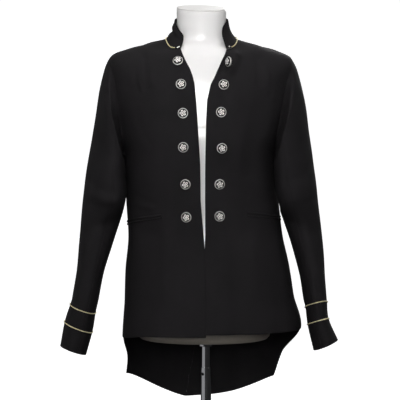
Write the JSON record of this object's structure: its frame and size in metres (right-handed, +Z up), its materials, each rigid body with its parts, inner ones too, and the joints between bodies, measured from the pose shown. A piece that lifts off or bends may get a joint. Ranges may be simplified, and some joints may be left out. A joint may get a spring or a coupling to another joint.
{
  "type": "tailcoat on a dress form",
  "caption": "Open-front military tailcoat with stand collar, embossed buttons, gold piping and long tail, on a limbless dress form with a telescopic pole and round base.",
  "frame": {"origin": "centre of the stand base's underside, on the pole's axis", "axes": "+Z up, the coat's front faces -Y, +X is the wearer's left"},
  "size_m": [0.6055, 0.32, 1.5525],
  "materials": {
    "suiting": "matt black woven suiting with a faint twill",
    "gold_piping": "pale gold corded piping",
    "button_metal": "silver-coloured embossed metal",
    "form_shell": "gloss white moulded shell",
    "form_cap": "satin white neck cap",
    "chrome_steel": "polished chrome plate"
  },
  "bodies": {
    "stand": {"stand_base": "chrome_steel", "pole_outer": "chrome_steel"},
    "form": {"back_left": "suiting", "back_right": "suiting", "button_left_1": "button_metal", "button_left_2": "button_metal", "button_left_3": "button_metal", "button_left_4": "button_metal", "button_left_5": "button_metal", "button_left_6": "button_metal", "button_right_1": "button_metal", "button_right_2": "button_metal", "button_right_3": "button_metal", "button_right_4": "button_metal", "button_right_5": "button_metal", "button_right_6": "button_metal", "collar": "suiting", "collar_eye": "button_metal", "collar_hook": "button_metal", "cuff_piping_lower_left": "gold_piping", "cuff_piping_lower_right": "gold_piping", "cuff_piping_upper_left": "gold_piping", "cuff_piping_upper_right": "gold_piping", "form_flange": "chrome_steel", "form_neck_cap": "form_cap", "form_torso": "form_shell", "front_left": "suiting", "front_right": "suiting", "neck_piping": "gold_piping", "pocket_welt_lower_left": "suiting", "pocket_welt_lower_right": "suiting", "pocket_welt_upper_left": "suiting", "pocket_welt_upper_right": "suiting", "pole_inner": "chrome_steel", "top_sleeve_left": "suiting", "top_sleeve_right": "suiting", "under_sleeve_left": "suiting", "under_sleeve_right": "suiting"}
  },
  "joints": [
    {"name": "pole_height", "type": "slide", "parent": "stand", "child": "form", "axis": [0, 0, 1], "range_m": [-0.03, 0.2]}
  ]
}
